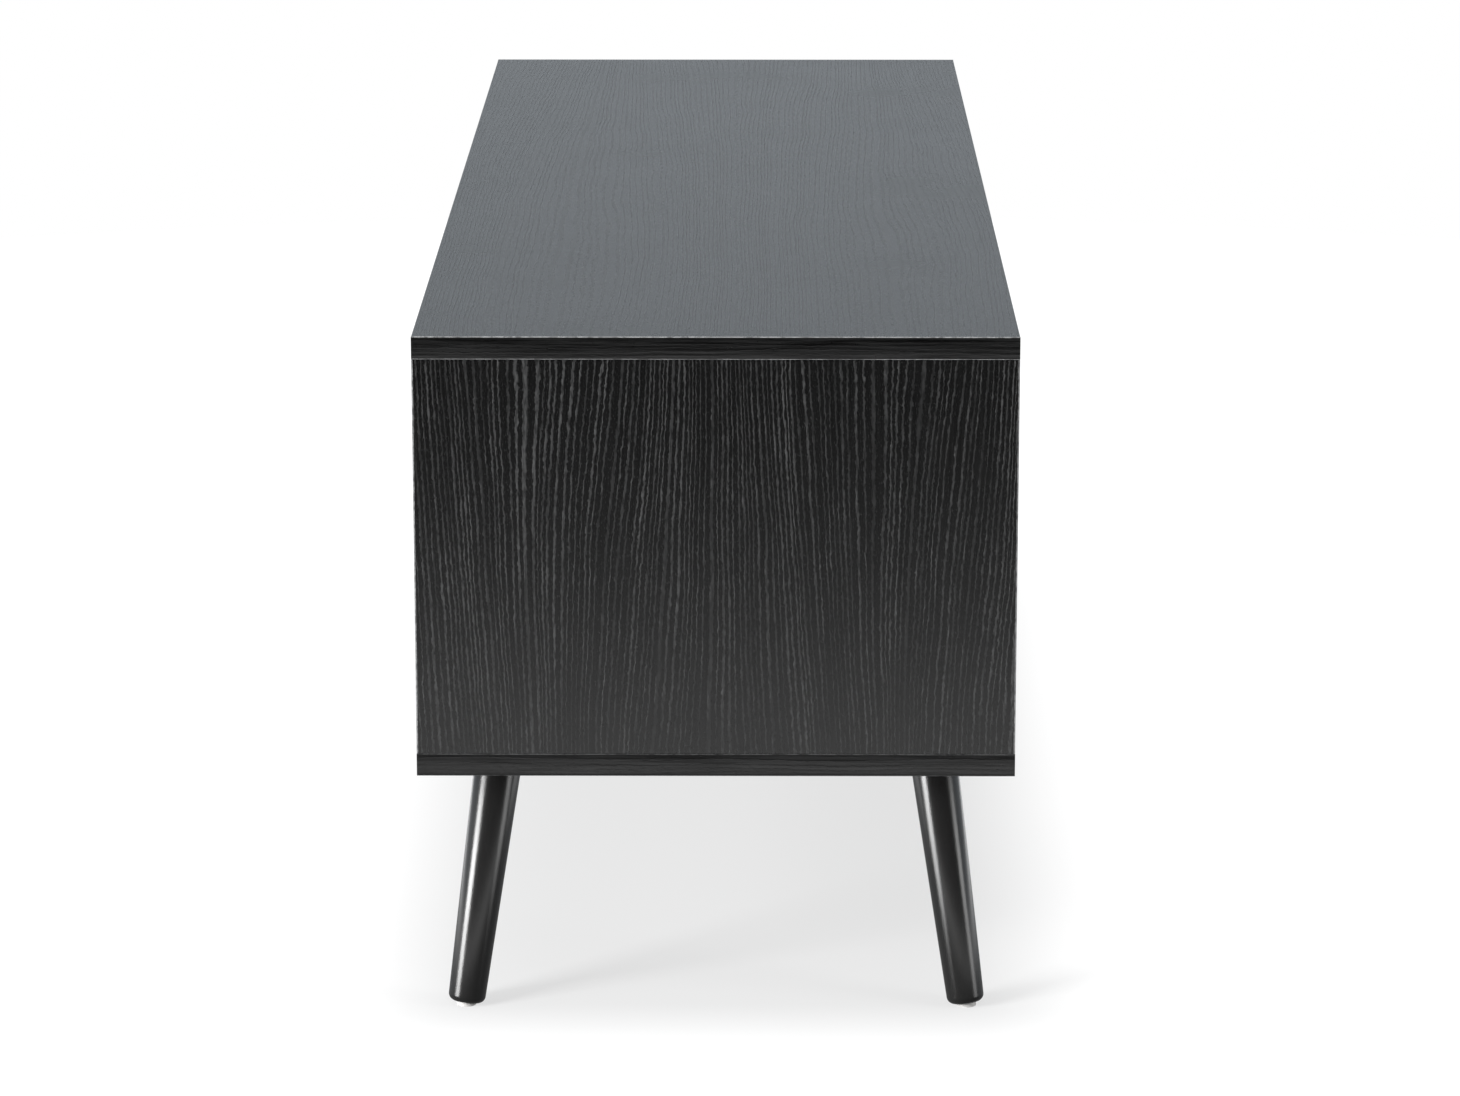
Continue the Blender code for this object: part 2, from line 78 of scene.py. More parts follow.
# %% [markdown]
# ## The camera
#
# The dresser is seen from its end with a long lens, from a little above the top, so that the
# sides of the top run together slowly. The camera stands nearly in line with the dresser and is
# tilted down. A shifted lens would keep the upright edges quite parallel, but it would also move
# the dresser out of every other view, so the camera is only tilted.

# %% Camera
def clear_selection():
    if bpy.context.object and bpy.context.object.mode != "OBJECT":
        bpy.ops.object.mode_set(mode="OBJECT")
    bpy.ops.object.select_all(action="DESELECT")


clear_selection()
CAMERA_PLACE = Vector((3.9547, 0.0247, 1.1359))
CAMERA_TILT = math.radians(13.684)
CAMERA_TURN = math.radians(0.264)
LENS = 131.9

bpy.ops.object.camera_add(
    location=CAMERA_PLACE,
    rotation=(math.radians(90) - CAMERA_TILT, 0, math.radians(90) + CAMERA_TURN),
)
camera = bpy.context.object
camera.name = "end_view_camera"
camera.data.lens = LENS
camera.data.sensor_width = 36
camera.data.clip_end = 100
bpy.context.scene.camera = camera
print("camera to the near end:", round(CAMERA_PLACE.x - CAD_BOX[1].x, 3), "m")

# %% [markdown]
# ## Helpers for materials
#
# A procedural material is a small program of nodes. These helpers add a node and return the
# socket that carries its result, so that a pattern can be written nearly as a formula.


# %% Node helpers
COLOUR_A, COLOUR_B, COLOUR_RESULT = 6, 7, 2  # the colour sockets of a Mix node


def feed(tree, socket, value):
    """Links an output to a socket, or sets the socket's own value."""
    if isinstance(value, bpy.types.NodeSocket):
        tree.links.new(value, socket)
    else:
        socket.default_value = value


def calc(tree, operation, *values, clamp=False):
    """One Math node."""
    made = tree.nodes.new("ShaderNodeMath")
    made.operation = operation
    made.use_clamp = clamp
    for socket, value in zip(made.inputs, values):
        feed(tree, socket, value)
    return made.outputs[0]


def vector(tree, x, y, z):
    made = tree.nodes.new("ShaderNodeCombineXYZ")
    for socket, value in zip(made.inputs, (x, y, z)):
        feed(tree, socket, value)
    return made.outputs[0]


def noise(tree, place, scale=1.0, detail=2.0, roughness=0.5):
    made = tree.nodes.new("ShaderNodeTexNoise")
    feed(tree, made.inputs["Vector"], place)
    made.inputs["Scale"].default_value = scale
    made.inputs["Detail"].default_value = detail
    made.inputs["Roughness"].default_value = roughness
    return made.outputs["Fac"]


def step(tree, value, low, high, to_low=0.0, to_high=1.0):
    """A smooth step from one value to another."""
    made = tree.nodes.new("ShaderNodeMapRange")
    made.interpolation_type = "SMOOTHSTEP"
    feed(tree, made.inputs["Value"], value)
    for name, number in (
        ("From Min", low),
        ("From Max", high),
        ("To Min", to_low),
        ("To Max", to_high),
    ):
        feed(tree, made.inputs[name], number)
    return made.outputs["Result"]


def blend_colours(tree, share, first, second):
    made = tree.nodes.new("ShaderNodeMix")
    made.data_type = "RGBA"
    feed(tree, made.inputs["Factor"], share)
    feed(tree, made.inputs[COLOUR_A], first)
    feed(tree, made.inputs[COLOUR_B], second)
    return made.outputs[COLOUR_RESULT]


def choose_shader(tree, share, first, second):
    """The first shader where the share is 0, the second where it is 1."""
    made = tree.nodes.new("ShaderNodeMixShader")
    feed(tree, made.inputs["Fac"], share)
    feed(tree, made.inputs[1], first)
    feed(tree, made.inputs[2], second)
    return made.outputs[0]


def bump(tree, height, distance, strength):
    made = tree.nodes.new("ShaderNodeBump")
    made.inputs["Distance"].default_value = distance
    made.inputs["Strength"].default_value = strength
    feed(tree, made.inputs["Height"], height)
    return made.outputs["Normal"]


def grey(level, warm=0.0):
    """A grey with a little warmth or, below zero, coolness."""
    return (level * (1 + warm), level, level * (1 - warm), 1.0)


def new_material(name):
    made = bpy.data.materials.new(name)
    made.use_nodes = True
    return made, made.node_tree, made.node_tree.nodes["Principled BSDF"]


# %% [markdown]
# ## The studio
#
# A picture of black furniture is mostly a picture of what the furniture reflects. The room is
# white to the eye, but the light that it gives comes mainly from the horizon behind and beside
# the dresser, and hardly at all from behind the camera. So the top, which is seen at a flat
# angle, mirrors a pale horizon and looks blue-grey, while the end mirrors the dark and looks
# black.

# %% Sky
HORIZON = 0.87
HORIZON_TINT = (0.864, 0.934, 1.0, 1)
DARK_SIDE = 0.035
OVERHEAD = 0.30
HORIZON_SIDES = (0.55, 0.0)  # along X: where the horizon starts, and where it has its full light
HORIZON_RISE = (0.60, 0.05)  # along Z: where it ends above, and where it has its full light
OVERHEAD_RISE = (0.25, 0.9)

scene = bpy.context.scene
scene.view_settings.view_transform = "Standard"
scene.view_settings.look = "None"

sky = bpy.data.worlds.new("pale_sky")
sky.use_nodes = True
sky_tree = sky.node_tree
sky_tree.nodes.clear()
towards = sky_tree.nodes.new("ShaderNodeTexCoord")
axes = sky_tree.nodes.new("ShaderNodeSeparateXYZ")
sky_tree.links.new(towards.outputs["Generated"], axes.inputs[0])
pale = step(sky_tree, axes.outputs["X"], *HORIZON_SIDES)
low = step(sky_tree, axes.outputs["Z"], *HORIZON_RISE)
level = calc(sky_tree, "MULTIPLY", calc(sky_tree, "MULTIPLY", pale, low), HORIZON)
above = step(sky_tree, axes.outputs["Z"], *OVERHEAD_RISE, DARK_SIDE, OVERHEAD)
level = calc(sky_tree, "ADD", level, above)
given = sky_tree.nodes.new("ShaderNodeBackground")
feed(sky_tree, given.inputs["Color"], blend_colours(sky_tree, pale, grey(1.0), HORIZON_TINT))
feed(sky_tree, given.inputs["Strength"], level)
seen = sky_tree.nodes.new("ShaderNodeBackground")
seen.inputs["Color"].default_value = grey(1.0)
to_the_eye = sky_tree.nodes.new("ShaderNodeLightPath").outputs["Is Camera Ray"]
sky_out = sky_tree.nodes.new("ShaderNodeOutputWorld")
either = choose_shader(sky_tree, to_the_eye, given.outputs[0], seen.outputs[0])
feed(sky_tree, sky_out.inputs["Surface"], either)
scene.world = sky
print("horizon and dark side:", HORIZON, DARK_SIDE)

# %% [markdown]
# The floor is a white sweep. To the eye it glows white, a floor that glows though it is no lamp,
# and under the dresser the glow is dimmed to a painted soft shadow; a faint grey layer on it
# takes the lamps' real shadows. Further out it fades into the white of the room. What it mirrors
# into the furniture is a pool of light painted round the feet as a glow, dimmed under the
# dresser as painted shade, which is why a board grows paler towards the floor. From below the
# floor lets the eye through, so that the underside can be looked at.

# %% Floor
FLOOR_RADIUS = 2.4
POOL_NEAR, POOL_FAR = 0.52, 1.42  # where the painted pool of light starts to fade, and where it ends
POOL_LIGHT, POOL_REST, PAINTED_SHADE_UNDER = 2.2, 0.02, 0.10  # its painted light, beyond it, and the painted shade under the dresser
# where the painted shade under the dresser lifts, from full to gone
PAINTED_SHADE_UNDER_ENDS = (0.08, 0.48)
SHADE_INSET = 0.03  # the painted soft shadow on the floor starts this far inside the dresser's outline
# where the floor's glow climbs from the painted soft shadow to full white, and the glow inside it
SHADE_EDGE = (-0.02, 0.16)
SHADE_LIGHT = 0.66
FLOOR_GREY = 0.15
FLOOR_GLOSS_ROUGHNESS = 0.12

clear_selection()
bpy.ops.mesh.primitive_circle_add(vertices=128, radius=FLOOR_RADIUS, fill_type="NGON")
floor = bpy.context.object
floor.name = "studio_floor"
floor_paint, floor_tree, floor_shader = new_material("pale_floor")
where = floor_tree.nodes.new("ShaderNodeTexCoord")
across = floor_tree.nodes.new("ShaderNodeSeparateXYZ")
floor_tree.links.new(where.outputs["Object"], across.inputs[0])
outside = []
for axis, half in (("X", CAD_BOX[1].x), ("Y", CAD_BOX[1].y)):
    away = calc(floor_tree, "ABSOLUTE", across.outputs[axis])
    beyond = calc(floor_tree, "SUBTRACT", away, half - SHADE_INSET)
    outside.append(calc(floor_tree, "POWER", calc(floor_tree, "MAXIMUM", beyond, 0.0), 2.0))
distance = calc(floor_tree, "SQRT", calc(floor_tree, "ADD", *outside))
# A pool of light painted round the feet as a glow for the rays that the furniture mirrors, dimmed to
# painted shade under the dresser.
painted_light_pool = step(floor_tree, distance, POOL_NEAR, POOL_FAR, POOL_LIGHT, POOL_REST)
painted_light_pool = calc(floor_tree, "MULTIPLY", painted_light_pool, step(floor_tree, distance, *PAINTED_SHADE_UNDER_ENDS, PAINTED_SHADE_UNDER, 1.0))
mirrored = floor_tree.nodes.new("ShaderNodeBsdfPrincipled")
feed(floor_tree, mirrored.inputs["Base Color"], grey(0.0))
mirrored.inputs["Roughness"].default_value = FLOOR_GLOSS_ROUGHNESS
feed(floor_tree, mirrored.inputs["Emission Color"], grey(1.0))
feed(floor_tree, mirrored.inputs["Emission Strength"], painted_light_pool)
# To the eye the floor glows, and under the dresser the glow is dimmed to a painted soft shadow.
painted_floor_glow = floor_tree.nodes.new("ShaderNodeEmission")
feed(floor_tree, painted_floor_glow.inputs["Strength"], step(floor_tree, distance, *SHADE_EDGE, SHADE_LIGHT, 1.0))
floor_shader.inputs["Roughness"].default_value = 0.8
floor_shader.inputs["Specular IOR Level"].default_value = 0.0
feed(floor_tree, floor_shader.inputs["Base Color"], grey(FLOOR_GREY))
lit = floor_tree.nodes.new("ShaderNodeAddShader")
floor_tree.links.new(painted_floor_glow.outputs[0], lit.inputs[0])
floor_tree.links.new(floor_shader.outputs[0], lit.inputs[1])
to_the_eye = floor_tree.nodes.new("ShaderNodeLightPath").outputs["Is Camera Ray"]
either = choose_shader(floor_tree, to_the_eye, mirrored.outputs[0], lit.outputs[0])
from_below = floor_tree.nodes.new("ShaderNodeNewGeometry").outputs["Backfacing"]
open_floor = calc(floor_tree, "MULTIPLY", from_below, to_the_eye)
clear = floor_tree.nodes.new("ShaderNodeBsdfTransparent")
last = choose_shader(floor_tree, open_floor, either, clear.outputs[0])
feed(floor_tree, floor_tree.nodes["Material Output"].inputs["Surface"], last)
floor.data.materials.append(floor_paint)
print("floor:", FLOOR_RADIUS * 2, "m across")

# %% [markdown]
# Two low soft lamps stand on the floor at the left and the right. Their long reflections draw
# the legs: a bright, narrow one from the left and a dimmer one from the right. They are linked
# to the legs and the floor only, so that the boards never mirror them as a glare. Two taller
# lamps over them bring out the pale lines of the grain, and are left out of every reflection.


# %% Lamps
def lamp(name, place, target, width, height, power, mirrored=True):
    """A rectangular lamp at a place, aimed at a point."""
    bpy.ops.object.light_add(type="AREA", location=place)
    made = bpy.context.object
    made.name = name
    made.data.shape = "RECTANGLE"
    made.data.size = width
    made.data.size_y = height
    made.data.energy = power
    made.visible_camera = False
    made.visible_glossy = mirrored
    made.rotation_euler = (Vector(target) - Vector(place)).to_track_quat("-Z", "Y").to_euler()
    return made


low_lamps = (
    lamp("left_low_lamp", (2.02, -3.0, 0.38), (0.5, -0.1, 0.38), 1.4, 0.76, 122),
    lamp("right_low_lamp", (1.75, 3.2, 0.38), (0.5, 0.1, 0.38), 1.2, 0.76, 20),
)
lamp("left_fill", (2.45, -2.75, 1.3), (0.5, -0.1, 0.5), 1.15, 1.5, 240, mirrored=False)
lamp("right_fill", (1.75, 3.2, 1.3), (0.5, 0.1, 0.5), 1.2, 1.5, 56, mirrored=False)
leg_light = bpy.data.collections.new("lit_by_the_low_lamps")
leg_light.objects.link(floor)
for low_lamp in low_lamps:
    low_lamp.light_linking.receiver_collection = leg_light
lamp("ceiling_panel", (-0.6, -0.4, 4.0), (-0.2, 0, 0), 4.0, 3.0, 90)

# %% [markdown]
# ## Black ash, as a formula
#
# The boards wear a printed and embossed sheet that imitates black ash: paler, slightly raised
# lines a few millimetres apart, which wander, crinkle and fade. The lines are the year rings of
# planks that lie side by side. In the middle of a plank the lines part like an arrowhead, and
# where two planks meet they run together.
#
# So the pattern starts as plain stripes across the grain. A sine wave leans them to make the
# planks, five layers of noise bend them, and each line gets its own strength and width. The
# group takes a place as (along, across, through) the grain, in metres.

# %% Grain group
PLANK_WIDTH = 0.22
PLANK_ARCH = 2.2  # how fast the lean changes along a plank
SWAYS = (  # how fine along the grain, how fine across it, and how far it bends the lines
    (2.4, 7, 0.016),
    (11, 34, 0.0050),
    (70, 120, 0.0014),
    (230, 330, 0.0021),
    (620, 620, 0.0010),
)
NARROWEST, WIDER = 0.15, 0.24  # a line's least width and what chance may add, as shares of a ring


def ash_grain_group():
    group = bpy.data.node_groups.new("ash_grain", "ShaderNodeTree")
    for name in ("Grain", "Lean", "Ring"):
        kind = "NodeSocketVector" if name == "Grain" else "NodeSocketFloat"
        group.interface.new_socket(name, in_out="INPUT", socket_type=kind)
    for name in ("Line", "Fibre", "Speck", "Height"):
        group.interface.new_socket(name, in_out="OUTPUT", socket_type="NodeSocketFloat")
    start = group.nodes.new("NodeGroupInput")
    end = group.nodes.new("NodeGroupOutput")
    parts = group.nodes.new("ShaderNodeSeparateXYZ")
    group.links.new(start.outputs["Grain"], parts.inputs[0])
    along, across, through = parts.outputs

    def streaks(along_scale, across_scale, detail=2.0, roughness=0.5):
        place = vector(
            group,
            calc(group, "MULTIPLY", along, along_scale),
            calc(group, "MULTIPLY", across, across_scale),
            calc(group, "MULTIPLY", through, across_scale),
        )
        return noise(group, place, 1.0, detail, roughness)

    # planks: the lines lean away from the middle of each one
    wave = calc(group, "SINE", calc(group, "MULTIPLY", across, math.tau / PLANK_WIDTH))
    arch = calc(group, "SINE", calc(group, "MULTIPLY", along, PLANK_ARCH))
    reach = calc(group, "DIVIDE", arch, PLANK_ARCH)
    lean = calc(group, "MULTIPLY", calc(group, "MULTIPLY", reach, start.outputs["Lean"]), wave)
    bent = calc(group, "ADD", across, lean)
    for along_scale, across_scale, size in SWAYS:
        sway = calc(group, "SUBTRACT", streaks(along_scale, across_scale), 0.5)
        bent = calc(group, "MULTIPLY_ADD", sway, size, bent)

    # stripes: counted across the grain, with uneven spacing
    swing = noise(group, vector(group, calc(group, "MULTIPLY", bent, 60), 0.3, 0), 1.0, 1.0)
    count = calc(group, "DIVIDE", bent, start.outputs["Ring"])
    count = calc(group, "MULTIPLY_ADD", swing, 3.0, count)
    share = calc(group, "FRACT", count)
    chance = group.nodes.new("ShaderNodeTexWhiteNoise")
    chance.noise_dimensions = "1D"
    group.links.new(calc(group, "FLOOR", count), chance.inputs["W"])
    odds = group.nodes.new("ShaderNodeSeparateColor")
    group.links.new(chance.outputs["Color"], odds.inputs[0])
    width = calc(group, "MULTIPLY_ADD", odds.outputs["Red"], WIDER, NARROWEST)
    falling = step(group, share, calc(group, "ADD", width, 0.14), width)
    stripe = calc(group, "MULTIPLY", step(group, share, 0.0, 0.12), falling)
    strength = step(group, odds.outputs["Green"], 0.0, 1.0, 0.42, 0.95)

    # wear: each line fades, crumbles at its edges and flashes where its rim is sharp
    patch = step(group, streaks(9, 55), 0.32, 0.68, 0.45, 1.1)
    crumb = step(group, streaks(170, 800, 3.0, 0.65), 0.38, 0.60, 0.18, 1.0)
    body = calc(group, "MULTIPLY", calc(group, "MULTIPLY", stripe, strength), patch)
    body = calc(group, "MULTIPLY", body, crumb)
    rim = calc(group, "MULTIPLY", step(group, share, 0.0, 0.07), step(group, share, 0.20, 0.10))
    rim = calc(group, "MULTIPLY", rim, step(group, streaks(24, 210), 0.52, 0.64))
    rim = calc(group, "MULTIPLY", rim, step(group, streaks(300, 900, 2.0), 0.40, 0.60))
    line = calc(group, "MULTIPLY_ADD", rim, 0.85, body)
    fibre = streaks(14, 560, 3.0, 0.6)
    speck = step(group, streaks(330, 1500, 2.0), 0.60, 0.72)
    height = calc(group, "MULTIPLY_ADD", fibre, 0.35, calc(group, "MULTIPLY", stripe, 0.5))
    height = calc(group, "MULTIPLY_ADD", speck, -0.4, height)
    for name, value in (("Line", line), ("Fibre", fibre), ("Speck", speck), ("Height", height)):
        group.links.new(value, end.inputs[name])
    return group


ASH_GRAIN = ash_grain_group()
print("grain group:", len(ASH_GRAIN.nodes), "nodes")

# %% [markdown]
# ## The board's finish
#
# Each board is cut from another place in the sheet, so each gets its own material: the grain
# group read from its own spot and along its own direction. The lines are paler and rougher than
# the ground. They stand out where the sheet is seen face on, and hardly show on the top, which
# mirrors the horizon at a flat angle and whose pale lines are also painted darker, a painted shade.

# %% Board finish
AXES = {"x": 0, "y": 1, "z": 2}
GROUND = (grey(0.0010, -0.01), grey(0.0032, -0.01))
PALE_LINE = grey(0.050, -0.01)
PORE = grey(0.003)
RING = 0.0037  # from one pale line to the next
LINE_MATT = 0.36  # how much rougher a pale line is than the ground
SHEET_GLOSS = 0.36
SHEET_RELIEF = 0.00016


def object_axes(tree):
    coordinates = tree.nodes.new("ShaderNodeTexCoord")
    parts = tree.nodes.new("ShaderNodeSeparateXYZ")
    tree.links.new(coordinates.outputs["Object"], parts.inputs[0])
    return parts.outputs


def grain_place(tree, turned, spot):
    """Object coordinates turned to (along, across, through) the grain, read from a spot."""
    axes = object_axes(tree)
    return vector(tree, *(calc(tree, "ADD", axes[AXES[a]], shift) for a, shift in zip(turned, spot)))


def add_figure(tree, turned, spot, lean, ring):
    """The grain group in a material, read from a spot."""
    figure = tree.nodes.new("ShaderNodeGroup")
    figure.node_tree = ASH_GRAIN
    feed(tree, figure.inputs["Grain"], grain_place(tree, turned, spot))
    figure.inputs["Lean"].default_value = lean
    figure.inputs["Ring"].default_value = ring
    return figure


def board_finish(name, turned, spot, lean=0.070, line=PALE_LINE, relief=1.0, matt=LINE_MATT):
    """Black ash sheet. Turned names the axes along, across and through the grain."""
    made, tree, shader = new_material(name)
    figure = add_figure(tree, turned, spot, lean, RING)
    base = blend_colours(tree, step(tree, figure.outputs["Fibre"], 0.3, 0.7), *GROUND)
    share = calc(tree, "MULTIPLY", figure.outputs["Line"], 1.0, clamp=True)
    colour = blend_colours(tree, share, base, line)
    pores = calc(tree, "MULTIPLY", figure.outputs["Speck"], 0.6)
    colour = blend_colours(tree, pores, colour, PORE)
    feed(tree, shader.inputs["Base Color"], colour)
    cloud = noise(tree, grain_place(tree, turned, spot), 9.0, 3.0, 0.6)
    rough = calc(tree, "MULTIPLY_ADD", cloud, 0.03, 0.255)
    rough = calc(tree, "MULTIPLY_ADD", figure.outputs["Speck"], 0.12, rough)
    feed(tree, shader.inputs["Roughness"], calc(tree, "MULTIPLY_ADD", share, matt, rough))
    shader.inputs["Specular IOR Level"].default_value = SHEET_GLOSS
    relief_depth = SHEET_RELIEF * relief
    feed(tree, shader.inputs["Normal"], bump(tree, figure.outputs["Height"], relief_depth, 0.9))
    return made


# %% [markdown]
# The edge bands are a thicker plastic strip, with darker streaks along it. Its corners are
# trimmed with a blade. A thin pale line is painted along the trimmed corner where it meets the
# sheet, as a painted highlight of that corner, and next to it a black line is painted as the
# shade of the seam.

# %% Edge band finish
BAND_GROUND = (grey(0.0008, -0.01), grey(0.009, -0.01))
BAND_STREAK = grey(0.0010)
BAND_RING = 0.0027
BAND_RELIEF = 0.00010
BAND_GLOSS = 0.30
# the black of the painted shade along the seam
SEAM_SHADE_COLOUR = grey(0.0025)
# the pale colour of the painted highlight along the trimmed corner
EDGE_HIGHLIGHT_COLOUR = grey(0.26, -0.01)
EDGE_HIGHLIGHT_REACH = 0.0007  # how far the painted highlight on the corner reaches in
SEAM_SHADE_REACH = 0.0017  # how far the black line of painted seam shade next to it reaches in


def band_finish(name, turned, spot, low, high, across, edge_highlight, gloss=BAND_GLOSS):
    """Edge band. Low and high are the board's faces along the axis across the band."""
    made, tree, shader = new_material(name)
    figure = add_figure(tree, turned, spot, 0.0, BAND_RING)
    base = blend_colours(tree, step(tree, figure.outputs["Fibre"], 0.38, 0.62), *BAND_GROUND)
    share = calc(tree, "MULTIPLY", figure.outputs["Line"], 1.1, clamp=True)
    colour = blend_colours(tree, share, base, BAND_STREAK)
    from_middle = calc(tree, "SUBTRACT", object_axes(tree)[AXES[across]], (low + high) / 2)
    inward = calc(tree, "SUBTRACT", (high - low) / 2, calc(tree, "ABSOLUTE", from_middle))
    starts = step(tree, inward, EDGE_HIGHLIGHT_REACH, EDGE_HIGHLIGHT_REACH * 1.2)
    # A black line painted just inside the trimmed corner: painted shade of the seam.
    black = calc(tree, "MULTIPLY", starts, step(tree, inward, SEAM_SHADE_REACH, SEAM_SHADE_REACH * 0.7))
    colour = blend_colours(tree, calc(tree, "MULTIPLY", black, 0.85), colour, SEAM_SHADE_COLOUR)
    chips = noise(tree, grain_place(tree, turned, spot), 160.0, 4.0, 0.7)
    # A pale line painted along the trimmed corner: a painted highlight, chipped, as strong as each band
    # is given.
    edge_highlight_line = step(tree, inward, EDGE_HIGHLIGHT_REACH, EDGE_HIGHLIGHT_REACH * 0.5)
    edge_highlight_line = calc(tree, "MULTIPLY", edge_highlight_line, step(tree, chips, 0.36, 0.6, 0.35, 1.0))
    colour = blend_colours(tree, calc(tree, "MULTIPLY", edge_highlight_line, edge_highlight), colour, EDGE_HIGHLIGHT_COLOUR)
    feed(tree, shader.inputs["Base Color"], colour)
    rough = calc(tree, "MULTIPLY_ADD", chips, 0.10, 0.24)
    feed(tree, shader.inputs["Roughness"], calc(tree, "MULTIPLY_ADD", black, 0.25, rough))
    shader.inputs["Specular IOR Level"].default_value = gloss
    feed(tree, shader.inputs["Normal"], bump(tree, figure.outputs["Height"], BAND_RELIEF, 0.8))
    return made


# %% [markdown]
# ## Modelling helpers
#
# Every new piece starts as a primitive at its size and place. Operators act on whatever is
# selected, so each helper clears the selection first, and the place is applied to the mesh, so
# that the finished object sits at the origin.


# %% Modelling helpers
SMOOTH_ANGLE = math.radians(35)


def settle(obj, name):
    """Names a new object and puts its place, turn and scale into its mesh."""
    obj.name = name
    obj.data.name = name
    bpy.ops.object.transform_apply(location=True, rotation=True, scale=True)
    return obj


def add_block(name, low, high):
    clear_selection()
    low, high = Vector(low), Vector(high)
    bpy.ops.mesh.primitive_cube_add(size=1, location=(low + high) / 2)
    bpy.context.object.scale = high - low
    return settle(bpy.context.object, name)


def select_only(obj):
    clear_selection()
    bpy.context.view_layer.objects.active = obj
    obj.select_set(True)


def edit(obj, kind="FACE"):
    """Opens an object in edit mode with nothing selected, and returns its editable mesh."""
    select_only(obj)
    bpy.ops.object.mode_set(mode="EDIT")
    bpy.ops.mesh.select_mode(type=kind)
    bpy.ops.mesh.select_all(action="DESELECT")
    return bmesh.from_edit_mesh(obj.data)


def pick(obj, mesh, items, wanted):
    """Selects the faces or edges that a test picks."""
    chosen = [item for item in items if wanted(item)]
    for item in chosen:
        item.select_set(True)
    mesh.select_flush_mode()
    bmesh.update_edit_mesh(obj.data)
    return len(chosen)


def leave_edit():
    bpy.ops.object.mode_set(mode="OBJECT")


def middle(edge):
    return (edge.verts[0].co + edge.verts[1].co) / 2


def direction(edge):
    return (edge.verts[1].co - edge.verts[0].co).normalized()


def round_edges(obj, wanted, width, segments=3):
    """Bevels the edges that a test picks."""
    mesh = edit(obj, "EDGE")
    count = pick(obj, mesh, mesh.edges, wanted)
    if count:
        bpy.ops.mesh.bevel(offset=width, segments=segments, affect="EDGES", profile=0.5)
    leave_edit()


def apply_modifier(obj, modifier):
    select_only(obj)
    bpy.ops.object.modifier_apply(modifier=modifier.name)


def carve(obj, tool):
    """Cuts one piece with another and removes the tool."""
    boolean = obj.modifiers.new("carve", "BOOLEAN")
    boolean.operation = "DIFFERENCE"
    boolean.object = tool
    apply_modifier(obj, boolean)
    bpy.data.objects.remove(tool, do_unlink=True)


def smooth(obj):
    select_only(obj)
    bpy.ops.object.shade_smooth_by_angle(angle=SMOOTH_ANGLE)


def paint(obj, material):
    obj.data.materials.clear()
    obj.data.materials.append(material)


def dress(obj, material, body):
    """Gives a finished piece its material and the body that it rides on."""
    paint(obj, material)
    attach(obj, body)


def repeat(obj, name, matrix):
    """A copy of a piece with a mesh of its own, moved by a matrix."""
    copy = obj.copy()
    copy.data = obj.data.copy()
    copy.name = name
    copy.data.name = name
    copy.data.transform(matrix)
    bpy.context.scene.collection.objects.link(copy)
    return copy


# %% [markdown]
# ## The outer boards
#
# The top and the bottom lie over and under the two ends, which is why their edges show from the
# end. Each board is a core, 1 mm short wherever an edge band is glued on, with a groove for the
# back sheets. The bands are separate strips with softly rounded outer corners: the thin pale
# lines round each board, partly those corners' own highlights and partly a highlight painted
# into the bands' finish, are what makes it read as banded board and not as a block.

# %% Sizes of the boards
BAND = 0.001
BAND_ROUND = 0.0007
GROOVE_ROOM = 0.0003
BACK_LOW = Vector(map(min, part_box("back_panel_left")[0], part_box("back_panel_right")[0]))
BACK_HIGH = Vector(map(max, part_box("back_panel_left")[1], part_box("back_panel_right")[1]))
print("back sheets:", [round(v, 4) for v in (*BACK_LOW, *BACK_HIGH)])


def groove_for_back(board):
    """Cuts away the room that the back sheets need in a board."""
    room = Vector((GROOVE_ROOM,) * 3)
    carve(board, add_block("groove_tool", BACK_LOW - room, BACK_HIGH + room))


def make_core(name, node, banded):
    """A board's core: the solid's box, less a band's thickness in the banded directions."""
    low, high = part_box(node)
    for axis in banded:
        low[AXES[axis]] += BAND
        high[AXES[axis]] -= BAND
    core = add_block(name, low, high)
    groove_for_back(core)
    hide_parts(node)
    return core


def make_band(name, node, axis, sign, keep_short=()):
    """An edge band on one edge of a board, with its two long outer corners rounded."""
    low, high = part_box(node)
    for other in keep_short:
        low[AXES[other]] += BAND
        high[AXES[other]] -= BAND
    which = AXES[axis]
    if sign > 0:
        low[which] = high[which] - BAND
    else:
        high[which] = low[which] + BAND
    band = add_block(name, low, high)
    face = high[which] if sign > 0 else low[which]
    size = high - low
    longest = max(range(3), key=lambda i: size[i])

    def outer_and_long(edge):
        on_face = abs(middle(edge)[which] - face) < 1e-5
        return on_face and abs(direction(edge)[longest]) > 0.9

    round_edges(band, outer_and_long, BAND_ROUND)
    smooth(band)
    return band


# %% [markdown]
# The top and the bottom have a band on all four edges. The bands at the ends run the full depth,
# and the long ones fit between them.

# %% Top and bottom boards
SHEET_SPOTS = {"top": (0.35, -0.015, 0.0), "bottom": (2.1, 0.31, 0.4)}
